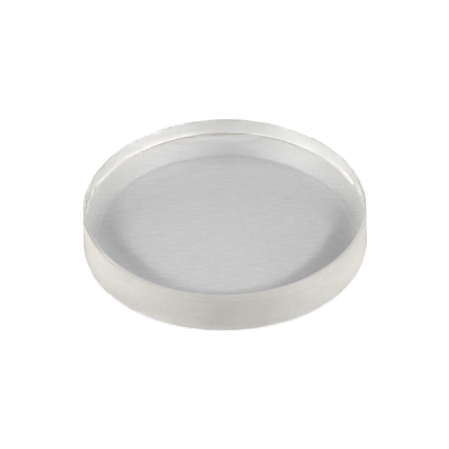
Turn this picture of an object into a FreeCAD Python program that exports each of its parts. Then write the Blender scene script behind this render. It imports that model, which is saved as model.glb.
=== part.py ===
import FreeCAD, Part
import math
import os

# A round lens of clear optical glass, thinner in the middle than at its edge.
# Both faces bulge upwards: the upper one gently, the lower one more strongly, so
# it hollows the underside. The lens stands on the rim round that hollow, with its
# optical axis along Z and the origin at the centre of the ring that it stands on.

# Driving dimensions, in millimetres
edge_diameter = 25.4        # across the ground cylindrical edge
centre_thickness = 3.2      # from vertex to vertex, on the axis
convex_radius = 300.0       # curvature of the upper, weaker face
concave_radius = 70.0       # curvature of the lower, stronger face
upper_bevel = 0.2           # leg of the 45 degree bevel round the convex face
lower_bevel = 0.2           # leg of the 45 degree bevel round the concave face


def sag(sphere_radius, reach):
    """How far a spherical face falls from its vertex to a circle of radius reach."""
    return sphere_radius - math.sqrt(sphere_radius ** 2 - reach ** 2)


def at(reach, height):
    """A point of the half section, reach out from the axis and height above the rim."""
    return FreeCAD.Vector(reach, 0, height)


def face_arc(sphere_radius, vertex_height, reach):
    """Half section of a spherical face, from its vertex out to its edge."""
    halfway = sphere_radius * math.sin(math.asin(reach / sphere_radius) / 2)
    vertex = at(0, vertex_height)
    middle = at(halfway, vertex_height - sag(sphere_radius, halfway))
    edge = at(reach, vertex_height - sag(sphere_radius, reach))
    return Part.Arc(vertex, middle, edge).toShape()


def half_section():
    """Closed outline of the glass on one side of the axis, starting at the lower vertex."""
    edge_radius = edge_diameter / 2
    upper_reach = edge_radius - upper_bevel
    lower_reach = edge_radius - lower_bevel
    lower_vertex = sag(concave_radius, lower_reach)
    upper_vertex = lower_vertex + centre_thickness
    upper_rim = upper_vertex - sag(convex_radius, upper_reach)

    axis_line = Part.makeLine(at(0, lower_vertex), at(0, upper_vertex))
    convex_face = face_arc(convex_radius, upper_vertex, upper_reach)
    upper_bevel_line = Part.makeLine(at(upper_reach, upper_rim), at(edge_radius, upper_rim - upper_bevel))
    ground_edge = Part.makeLine(at(edge_radius, upper_rim - upper_bevel), at(edge_radius, lower_bevel))
    lower_bevel_line = Part.makeLine(at(edge_radius, lower_bevel), at(lower_reach, 0))
    concave_face = face_arc(concave_radius, lower_vertex, lower_reach)
    return Part.Wire([axis_line, convex_face, upper_bevel_line, ground_edge, lower_bevel_line, concave_face])


def meniscus_lens():
    """The whole lens: its half section spun once round the optical axis."""
    section = Part.Face(half_section())
    return section.revolve(at(0, 0), at(0, 1))


pieces = {"meniscus_lens": meniscus_lens()}

os.makedirs("parts", exist_ok=True)
for node, solid in pieces.items():
    solid.exportStep(f"parts/{node}.step")
    box = solid.BoundBox
    print(f"{node}: {solid.ShapeType}, valid {solid.isValid()}, volume {solid.Volume:.1f} mm3,",
          f"{box.XLength:.2f} x {box.YLength:.2f} x {box.ZLength:.3f} mm from z {box.ZMin:.3f}")
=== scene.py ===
import math

import bpy
import numpy as np
from mathutils import Matrix, Vector


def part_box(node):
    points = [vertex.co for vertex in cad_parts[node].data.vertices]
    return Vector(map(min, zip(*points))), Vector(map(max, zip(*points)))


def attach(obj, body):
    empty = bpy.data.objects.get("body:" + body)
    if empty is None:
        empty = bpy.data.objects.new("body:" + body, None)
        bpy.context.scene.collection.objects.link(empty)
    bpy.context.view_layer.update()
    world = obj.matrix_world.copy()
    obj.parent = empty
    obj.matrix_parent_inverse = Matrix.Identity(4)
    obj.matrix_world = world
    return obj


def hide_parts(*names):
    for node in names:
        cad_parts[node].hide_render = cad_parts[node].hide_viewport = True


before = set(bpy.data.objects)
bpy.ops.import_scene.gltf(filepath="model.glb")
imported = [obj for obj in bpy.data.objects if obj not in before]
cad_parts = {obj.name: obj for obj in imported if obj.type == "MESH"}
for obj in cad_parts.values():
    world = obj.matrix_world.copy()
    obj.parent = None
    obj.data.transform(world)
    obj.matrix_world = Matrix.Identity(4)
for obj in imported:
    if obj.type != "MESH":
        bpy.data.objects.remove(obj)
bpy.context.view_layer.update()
mm = 0.001


# Polished glass
# Clear crown glass of the two faces. The polish is all but perfect: only a few faint
# wipe marks dull it, and they add about a hundredth to the roughness at most.

crown_glass_index = 1.517


def wipe_marks():
    """Shader group: a roughness that rises by a trace along long faint strokes."""
    tree = bpy.data.node_groups.new("wipe marks", "ShaderNodeTree")
    tree.interface.new_socket("Place", in_out="INPUT", socket_type="NodeSocketVector")
    tree.interface.new_socket("Roughness", in_out="OUTPUT", socket_type="NodeSocketFloat")
    nodes, links = tree.nodes, tree.links
    into = nodes.new("NodeGroupInput")
    out = nodes.new("NodeGroupOutput")

    stretch = nodes.new("ShaderNodeMapping")
    stretch.inputs["Rotation"].default_value = (0, 0, math.radians(35))
    stretch.inputs["Scale"].default_value = (90, 900, 300)
    links.new(into.outputs["Place"], stretch.inputs["Vector"])

    strokes = nodes.new("ShaderNodeTexNoise")
    strokes.inputs["Scale"].default_value = 1.0
    strokes.inputs["Detail"].default_value = 4.0
    links.new(stretch.outputs["Vector"], strokes.inputs["Vector"])

    trace = nodes.new("ShaderNodeMapRange")
    trace.inputs["From Min"].default_value = 0.55
    trace.inputs["From Max"].default_value = 0.85
    trace.inputs["To Min"].default_value = 0.0
    trace.inputs["To Max"].default_value = 0.012
    links.new(strokes.outputs["Fac"], trace.inputs["Value"])
    links.new(trace.outputs["Result"], out.inputs["Roughness"])
    return tree


def polished_glass():
    """Clear glass with the index of crown glass."""
    material = bpy.data.materials.new("polished_glass")
    material.use_nodes = True
    nodes, links = material.node_tree.nodes, material.node_tree.links
    shader = nodes["Principled BSDF"]
    shader.inputs["Base Color"].default_value = (0.998, 0.998, 0.997, 1)
    shader.inputs["Metallic"].default_value = 0.0
    shader.inputs["IOR"].default_value = crown_glass_index
    shader.inputs["Transmission Weight"].default_value = 1.0

    place = nodes.new("ShaderNodeTexCoord")
    marks = nodes.new("ShaderNodeGroup")
    marks.node_tree = wipe_marks()
    links.new(place.outputs["Object"], marks.inputs["Place"])
    links.new(marks.outputs["Roughness"], shader.inputs["Roughness"])
    return material


# Ground glass
# The edge and the bevels are fine ground: a warm white frost that lets light through
# and scatters it. The grit leaves a fine grain and faint lines round the edge. The lower
# bevel's frost is painted darker and greyer as painted shade: a guess, made to match a
# dark line seen through the glass, where the paper by the lens's foot lies in shade.

def grinding(darker, lighter):
    """Shader group: the frost's colour, roughness and height from grain, clouds and lines."""
    tree = bpy.data.node_groups.new("grinding", "ShaderNodeTree")
    tree.interface.new_socket("Place", in_out="INPUT", socket_type="NodeSocketVector")
    tree.interface.new_socket("Colour", in_out="OUTPUT", socket_type="NodeSocketColor")
    tree.interface.new_socket("Roughness", in_out="OUTPUT", socket_type="NodeSocketFloat")
    tree.interface.new_socket("Height", in_out="OUTPUT", socket_type="NodeSocketFloat")
    nodes, links = tree.nodes, tree.links
    into = nodes.new("NodeGroupInput")
    out = nodes.new("NodeGroupOutput")

    grain = nodes.new("ShaderNodeTexNoise")
    grain.inputs["Scale"].default_value = 2600.0
    grain.inputs["Detail"].default_value = 3.0
    grain.inputs["Roughness"].default_value = 0.6
    links.new(into.outputs["Place"], grain.inputs["Vector"])

    clouds = nodes.new("ShaderNodeTexNoise")
    clouds.inputs["Scale"].default_value = 420.0
    clouds.inputs["Detail"].default_value = 4.0
    links.new(into.outputs["Place"], clouds.inputs["Vector"])

    flatten = nodes.new("ShaderNodeMapping")
    flatten.inputs["Scale"].default_value = (110, 110, 3600)
    links.new(into.outputs["Place"], flatten.inputs["Vector"])
    lines = nodes.new("ShaderNodeTexNoise")
    lines.inputs["Scale"].default_value = 1.0
    lines.inputs["Detail"].default_value = 3.0
    links.new(flatten.outputs["Vector"], lines.inputs["Vector"])

    grain_and_lines = nodes.new("ShaderNodeMath")
    grain_and_lines.operation = "ADD"
    links.new(grain.outputs["Fac"], grain_and_lines.inputs[0])
    links.new(lines.outputs["Fac"], grain_and_lines.inputs[1])
    links.new(grain_and_lines.outputs["Value"], out.inputs["Height"])

    with_clouds = nodes.new("ShaderNodeMath")
    with_clouds.operation = "ADD"
    links.new(grain_and_lines.outputs["Value"], with_clouds.inputs[0])
    links.new(clouds.outputs["Fac"], with_clouds.inputs[1])

    frost = nodes.new("ShaderNodeValToRGB")
    frost.color_ramp.elements[0].position = 0.46
    frost.color_ramp.elements[0].color = (*darker, 1)
    frost.color_ramp.elements[1].position = 0.54
    frost.color_ramp.elements[1].color = (*lighter, 1)
    third = nodes.new("ShaderNodeMath")
    third.operation = "DIVIDE"
    third.inputs[1].default_value = 3.0
    links.new(with_clouds.outputs["Value"], third.inputs[0])
    links.new(third.outputs["Value"], frost.inputs["Fac"])
    links.new(frost.outputs["Color"], out.inputs["Colour"])

    dull = nodes.new("ShaderNodeMapRange")
    dull.inputs["From Min"].default_value = 0.3
    dull.inputs["From Max"].default_value = 0.7
    dull.inputs["To Min"].default_value = 0.36
    dull.inputs["To Max"].default_value = 0.44
    links.new(third.outputs["Value"], dull.inputs["Value"])
    links.new(dull.outputs["Result"], out.inputs["Roughness"])
    return tree


def ground_glass(name, darker, lighter):
    """Frosted glass whose colour wanders from darker to lighter."""
    material = bpy.data.materials.new(name)
    material.use_nodes = True
    nodes, links = material.node_tree.nodes, material.node_tree.links
    shader = nodes["Principled BSDF"]
    shader.inputs["Metallic"].default_value = 0.0
    shader.inputs["IOR"].default_value = crown_glass_index
    shader.inputs["Transmission Weight"].default_value = 1.0

    place = nodes.new("ShaderNodeTexCoord")
    grit = nodes.new("ShaderNodeGroup")
    grit.node_tree = grinding(darker, lighter)
    links.new(place.outputs["Object"], grit.inputs["Place"])
    links.new(grit.outputs["Colour"], shader.inputs["Base Color"])
    links.new(grit.outputs["Roughness"], shader.inputs["Roughness"])

    bump = nodes.new("ShaderNodeBump")
    bump.inputs["Strength"].default_value = 0.2
    bump.inputs["Distance"].default_value = 0.00002
    links.new(grit.outputs["Height"], bump.inputs["Height"])
    links.new(bump.outputs["Normal"], shader.inputs["Normal"])
    return material


# Lens
# One solid of glass, its half section carried once round the optical axis. Both faces
# bulge upwards, the lower one more, so that the underside is hollow. The bevels' width
# wanders by less than a tenth, as it does when an edge is broken by hand on a lap.

def sag(sphere_radius, reach):
    """Fall of a spherical face from its vertex: R - sqrt(R^2 - r^2)."""
    return sphere_radius - np.sqrt(sphere_radius ** 2 - reach ** 2)


def lens_points(edge_radius, height, turns):
    """Rings of the lens from its upper to its lower vertex, as an array (ring, turn, 3).

    Each ring is (r cos a, r sin a, z). On the faces r runs evenly from the axis to the
    bevel's reach and z = vertex - R + sqrt(R^2 - r^2); a bevel and the edge are straight
    runs between their corners. The upper bevel's leg is leg * (1 + 0.05 sin(3 a + 1)
    + 0.04 sin(7 a)) and the lower one's leg * (1 + 0.05 sin(2 a) + 0.04 sin(5 a + 2)).
    Also gives the two vertices and the finish of each band between two rings.
    """
    upper_curve = 300.0 * mm
    lower_curve = 70.0 * mm
    leg = 0.2 * mm
    face_rings = 72
    bevel_rings = 4
    wall_rings = 16
    a = np.arange(turns) * 2 * np.pi / turns
    upper_leg = leg * (1 + 0.05 * np.sin(3 * a + 1) + 0.04 * np.sin(7 * a))
    lower_leg = leg * (1 + 0.05 * np.sin(2 * a) + 0.04 * np.sin(5 * a + 2))
    lower_vertex = sag(lower_curve, edge_radius - leg)

    steps = np.linspace(0, 1, face_rings + 1)[1:, None]
    upper_r = steps * (edge_radius - upper_leg)
    upper_z = height - sag(upper_curve, upper_r)
    lower_r = steps[::-1] * (edge_radius - lower_leg)
    lower_z = lower_vertex - sag(lower_curve, lower_r)
    part = np.linspace(0, 1, bevel_rings + 1)[1:, None]
    bevel_r = upper_r[-1] + part * (edge_radius - upper_r[-1])
    bevel_z = upper_z[-1] - part * upper_leg
    wall = np.linspace(0, 1, wall_rings + 1)[1:, None]
    wall_r = np.full((wall_rings, turns), edge_radius)
    wall_z = bevel_z[-1] + wall * (lower_z[0] + lower_leg - bevel_z[-1])
    foot = part[:-1]
    foot_r = edge_radius - foot * lower_leg
    foot_z = lower_z[0] + (1 - foot) * lower_leg

    r = np.concatenate([upper_r, bevel_r, wall_r, foot_r, lower_r])
    z = np.concatenate([upper_z, bevel_z, wall_z, foot_z, lower_z])
    rings = np.stack([r * np.cos(a), r * np.sin(a), z], axis=-1)
    poles = np.array([[0, 0, height], [0, 0, lower_vertex]])
    polished, ground, painted_shade_foot = 0, 1, 2
    wall_end = face_rings - 1 + bevel_rings + wall_rings
    finish = np.full(len(r) - 1, polished)
    finish[face_rings - 1:wall_end] = ground
    # The lower bevel's bands take a frost painted darker as shade by the foot.
    finish[wall_end:wall_end + bevel_rings] = painted_shade_foot
    return rings, poles, finish


def lens_mesh(rings, poles, finish):
    """Mesh of the rings: four-sided faces between neighbours and a fan at each pole.

    Each face takes the finish of its band, and a fan that of the band next to it.
    """
    count, turns = rings.shape[:2]
    points = np.concatenate([rings.reshape(-1, 3), poles])
    index = np.arange(count * turns).reshape(count, turns)
    beside = np.roll(index, -1, axis=1)
    quads = np.stack([index[:-1], index[1:], beside[1:], beside[:-1]], axis=-1).reshape(-1, 4)
    top = np.stack([np.full(turns, count * turns), index[0], beside[0]], axis=-1)
    foot = np.stack([np.full(turns, count * turns + 1), beside[-1], index[-1]], axis=-1)
    mesh = bpy.data.meshes.new("lens")
    mesh.from_pydata(points.tolist(), [], quads.tolist() + top.tolist() + foot.tolist())
    of_faces = np.repeat(np.append(finish, [finish[0], finish[-1]]), turns)
    mesh.polygons.foreach_set("material_index", of_faces.astype(np.int32))
    mesh.shade_smooth()
    mesh.set_sharp_from_angle(angle=math.radians(20))
    mesh.update()
    return mesh


low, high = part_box("meniscus_lens")
lens_rings, lens_poles, lens_finish = lens_points(
    edge_radius=(high[0] - low[0]) / 2, height=high[2], turns=256)
lens = bpy.data.objects.new("lens", lens_mesh(lens_rings, lens_poles, lens_finish))
bpy.context.collection.objects.link(lens)
lens.data.materials.append(polished_glass())
lens.data.materials.append(ground_glass(
    "ground_glass", darker=(0.91, 0.86, 0.775), lighter=(1.0, 0.975, 0.90)))
# The lower bevel's frost is painted darker and greyer: painted shade for the dark line where
# the lens stands on the paper.
lens.data.materials.append(ground_glass(
    "foot_bevel_painted_shade", darker=(0.48, 0.46, 0.42), lighter=(0.64, 0.61, 0.56)))
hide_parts("meniscus_lens")
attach(lens, "root")


# Paper
# A pale sheet that the lens stands on. It is white to the camera all round the lens, with
# a trace of the lens's shadow, and from a few centimetres away it is white in glass and
# gloss too. Beneath the glass and close to it the softly streaked grey paper itself shows.

def paper_fibres():
    """Shader group: the grey of the paper with specks and fine streaks along X."""
    tree = bpy.data.node_groups.new("paper fibres", "ShaderNodeTree")
    tree.interface.new_socket("Place", in_out="INPUT", socket_type="NodeSocketVector")
    tree.interface.new_socket("Colour", in_out="OUTPUT", socket_type="NodeSocketColor")
    nodes, links = tree.nodes, tree.links
    into = nodes.new("NodeGroupInput")
    out = nodes.new("NodeGroupOutput")

    stretch = nodes.new("ShaderNodeMapping")
    stretch.inputs["Scale"].default_value = (600, 3600, 1000)
    links.new(into.outputs["Place"], stretch.inputs["Vector"])
    streaks = nodes.new("ShaderNodeTexNoise")
    streaks.inputs["Scale"].default_value = 1.0
    streaks.inputs["Detail"].default_value = 3.0
    links.new(stretch.outputs["Vector"], streaks.inputs["Vector"])
    specks = nodes.new("ShaderNodeTexNoise")
    specks.inputs["Scale"].default_value = 4200.0
    specks.inputs["Detail"].default_value = 2.0
    links.new(into.outputs["Place"], specks.inputs["Vector"])

    together = nodes.new("ShaderNodeMath")
    together.operation = "ADD"
    links.new(streaks.outputs["Fac"], together.inputs[0])
    links.new(specks.outputs["Fac"], together.inputs[1])
    half = nodes.new("ShaderNodeMath")
    half.operation = "DIVIDE"
    half.inputs[1].default_value = 2.0
    links.new(together.outputs["Value"], half.inputs[0])

    grey = nodes.new("ShaderNodeValToRGB")
    grey.color_ramp.elements[0].position = 0.3
    grey.color_ramp.elements[0].color = (0.80, 0.80, 0.80, 1)
    grey.color_ramp.elements[1].position = 0.7
    grey.color_ramp.elements[1].color = (0.966, 0.966, 0.966, 1)
    links.new(half.outputs["Value"], grey.inputs["Fac"])
    links.new(grey.outputs["Color"], out.inputs["Colour"])
    return tree


def paper_material(covered_radius, bare_radius):
    """Matt grey paper that is white to the camera beyond covered_radius.

    Gloss and glass see it with a glow on top of its own colour beyond bare_radius. The
    glow grows along the way from twice to ten times covered_radius.
    """
    material = bpy.data.materials.new("pale_paper")
    material.use_nodes = True
    nodes, links = material.node_tree.nodes, material.node_tree.links
    nodes.clear()
    place = nodes.new("ShaderNodeTexCoord")
    fibres = nodes.new("ShaderNodeGroup")
    fibres.node_tree = paper_fibres()
    links.new(place.outputs["Object"], fibres.inputs["Place"])
    matt = nodes.new("ShaderNodeBsdfDiffuse")
    links.new(fibres.outputs["Colour"], matt.inputs["Color"])

    def combined(operation, first, second):
        """Output of a math node on two outputs, or on an output and a number."""
        step = nodes.new("ShaderNodeMath")
        step.operation = operation
        links.new(first, step.inputs[0])
        if isinstance(second, float):
            step.inputs[1].default_value = second
        else:
            links.new(second, step.inputs[1])
        return step.outputs["Value"]

    path = nodes.new("ShaderNodeLightPath")
    reach = nodes.new("ShaderNodeVectorMath")
    reach.operation = "LENGTH"
    links.new(place.outputs["Object"], reach.inputs[0])
    uncovered = combined("GREATER_THAN", reach.outputs["Value"], covered_radius)
    far = combined("GREATER_THAN", reach.outputs["Value"], bare_radius)
    in_glass = combined(
        "MAXIMUM", path.outputs["Is Glossy Ray"], path.outputs["Is Transmission Ray"])
    to_glass = combined("MULTIPLY", in_glass, far)
    to_camera = combined("MULTIPLY", path.outputs["Is Camera Ray"], uncovered)

    brighten = nodes.new("ShaderNodeMapRange")
    brighten.inputs["From Min"].default_value = 2 * covered_radius
    brighten.inputs["From Max"].default_value = 10 * covered_radius
    brighten.inputs["To Min"].default_value = 0.55
    brighten.inputs["To Max"].default_value = 1.0
    links.new(reach.outputs["Value"], brighten.inputs["Value"])
    glow = nodes.new("ShaderNodeEmission")
    links.new(brighten.outputs["Result"], glow.inputs["Strength"])
    both = nodes.new("ShaderNodeAddShader")
    links.new(matt.outputs["BSDF"], both.inputs[0])
    links.new(glow.outputs["Emission"], both.inputs[1])
    off_camera = nodes.new("ShaderNodeMixShader")
    links.new(to_glass, off_camera.inputs["Fac"])
    links.new(matt.outputs["BSDF"], off_camera.inputs[1])
    links.new(both.outputs["Shader"], off_camera.inputs[2])

    # A tenth of the lit paper stays in the camera's white and keeps a trace of the shadow.
    # Both together come to a strength close to 1.
    white = nodes.new("ShaderNodeEmission")
    white.inputs["Strength"].default_value = 1.06
    white_share = combined("MULTIPLY", to_camera, 0.9)
    seen = nodes.new("ShaderNodeMixShader")
    links.new(white_share, seen.inputs["Fac"])
    links.new(off_camera.outputs["Shader"], seen.inputs[1])
    links.new(white.outputs["Emission"], seen.inputs[2])
    surface = nodes.new("ShaderNodeOutputMaterial")
    links.new(seen.outputs["Shader"], surface.inputs["Surface"])
    return material


sheet_mesh = bpy.data.meshes.new("paper")
sheet_half = 2.0
sheet_gap = 0.02 * mm
sheet_mesh.from_pydata(
    [(-sheet_half, -sheet_half, 0), (sheet_half, -sheet_half, 0),
     (sheet_half, sheet_half, 0), (-sheet_half, sheet_half, 0)], [], [(0, 1, 2, 3)])
paper = bpy.data.objects.new("paper", sheet_mesh)
bpy.context.collection.objects.link(paper)
paper.location = (0, 0, low[2] - sheet_gap)
paper.data.materials.append(paper_material(covered_radius=high[0], bare_radius=40 * mm))


# Studio light
# Two strong soft lamps low on both sides in front, with weaker ones at the left side, in
# front, high on the right and behind on the right. The dim sky brightens towards the
# horizon behind and is plain white to the camera.

def soft_lamp(name, azimuth, elevation, size, strength):
    """Rectangular lamp that faces the lens; azimuth runs from +X towards +Y.

    Its strength is what each part of it sends out: energy / (pi * width * height).
    """
    distance = 0.6
    light = bpy.data.lights.new(name, "AREA")
    light.shape = "RECTANGLE"
    light.size = size[0]
    light.size_y = size[1]
    light.energy = strength * math.pi * size[0] * size[1]
    lamp = bpy.data.objects.new(name, light)
    turn, rise = math.radians(azimuth), math.radians(elevation)
    towards = Vector((
        math.cos(turn) * math.cos(rise), math.sin(turn) * math.cos(rise), math.sin(rise)))
    lamp.location = towards * distance
    lamp.rotation_mode = "QUATERNION"
    lamp.rotation_quaternion = towards.to_track_quat("Z", "Y")
    lamp.visible_camera = False
    bpy.context.collection.objects.link(lamp)


soft_lamp("left_lamp", 217, 21.5, (0.56, 0.13), 14.5)
soft_lamp("left_side_lamp", 182, 24, (0.3, 0.13), 4.8)
soft_lamp("front_lamp", 268, 22, (0.5, 0.14), 1.9)
soft_lamp("right_lamp", 320, 25.5, (0.62, 0.12), 12.5)
soft_lamp("right_high_lamp", 340, 40, (0.4, 0.16), 1.2)
soft_lamp("rear_right_lamp", 36, 18.5, (0.26, 0.18), 2.5)

sky = bpy.data.worlds.new("studio")
bpy.context.scene.world = sky
sky.use_nodes = True
sky_nodes, sky_links = sky.node_tree.nodes, sky.node_tree.links
sky_light = sky_nodes["Background"]
sky_light.inputs["Color"].default_value = (1, 1, 1, 1)
direction = sky_nodes.new("ShaderNodeTexCoord")
along = sky_nodes.new("ShaderNodeSeparateXYZ")
sky_links.new(direction.outputs["Generated"], along.inputs["Vector"])
behind = sky_nodes.new("ShaderNodeMapRange")
behind.interpolation_type = "SMOOTHSTEP"
behind.inputs["From Min"].default_value = -0.3
behind.inputs["From Max"].default_value = 0.9
behind.inputs["To Min"].default_value = 0.06
behind.inputs["To Max"].default_value = 1.5
sky_links.new(along.outputs["Y"], behind.inputs["Value"])
lower = sky_nodes.new("ShaderNodeMapRange")
lower.inputs["From Max"].default_value = 0.5
lower.inputs["To Min"].default_value = 1.0
lower.inputs["To Max"].default_value = 0.2
sky_links.new(along.outputs["Z"], lower.inputs["Value"])
glow_behind = sky_nodes.new("ShaderNodeMath")
glow_behind.operation = "MULTIPLY"
sky_links.new(behind.outputs["Result"], glow_behind.inputs[0])
sky_links.new(lower.outputs["Result"], glow_behind.inputs[1])
overhead = sky_nodes.new("ShaderNodeMapRange")
overhead.interpolation_type = "SMOOTHSTEP"
overhead.inputs["From Min"].default_value = 0.5
overhead.inputs["From Max"].default_value = 1.0
overhead.inputs["To Max"].default_value = 0.1
sky_links.new(along.outputs["Z"], overhead.inputs["Value"])
sky_glow = sky_nodes.new("ShaderNodeMath")
sky_glow.operation = "ADD"
sky_links.new(glow_behind.outputs["Value"], sky_glow.inputs[0])
sky_links.new(overhead.outputs["Result"], sky_glow.inputs[1])
# The camera sees a sky of strength 1, and everything else the glow worked out above.
sky_path = sky_nodes.new("ShaderNodeLightPath")
sky_level = sky_nodes.new("ShaderNodeMapRange")
sky_links.new(sky_glow.outputs["Value"], sky_level.inputs["To Min"])
sky_level.inputs["To Max"].default_value = 1.0
sky_links.new(sky_path.outputs["Is Camera Ray"], sky_level.inputs["Value"])
sky_links.new(sky_level.outputs["Result"], sky_light.inputs["Strength"])


# Camera
# A long lens far away, so that the view is all but parallel, looking down on the
# lens from the front at the picture's angle.

def camera_at(elevation, aim, roll, distance, pixels_per_metre, picture_width):
    """Camera in the plane x = 0, in front and above, that shows that many pixels per metre."""
    rise = math.radians(elevation)
    spot = Vector((0, -distance * math.cos(rise), distance * math.sin(rise)))
    ahead = (aim - spot).normalized()
    right = ahead.cross(Vector((0, 0, 1))).normalized()
    up = right.cross(ahead)
    lean = math.radians(roll)
    right_leant = math.cos(lean) * right + math.sin(lean) * up
    up_leant = math.cos(lean) * up - math.sin(lean) * right
    settings = bpy.data.cameras.new("camera")
    settings.sensor_width = 36
    settings.lens = pixels_per_metre * distance / picture_width * settings.sensor_width
    settings.clip_start = 0.01
    settings.clip_end = 10
    camera = bpy.data.objects.new("camera", settings)
    turned = Matrix((right_leant, up_leant, -ahead)).transposed().to_4x4()
    camera.matrix_world = Matrix.Translation(spot) @ turned
    bpy.context.collection.objects.link(camera)
    return camera


bpy.context.scene.camera = camera_at(
    elevation=39.007, aim=Vector((-0.045, -0.025, 2.0)) * mm, roll=-0.869,
    distance=1.5, pixels_per_metre=11153.3, picture_width=449)

scene = bpy.context.scene
scene.view_settings.view_transform = "Standard"
# Light is thrown back many times inside the rim before it leaves the glass.
scene.cycles.max_bounces = 20
scene.cycles.transmission_bounces = 20
scene.cycles.glossy_bounces = 8
scene.cycles.diffuse_bounces = 4
scene.cycles.blur_glossy = 0.0
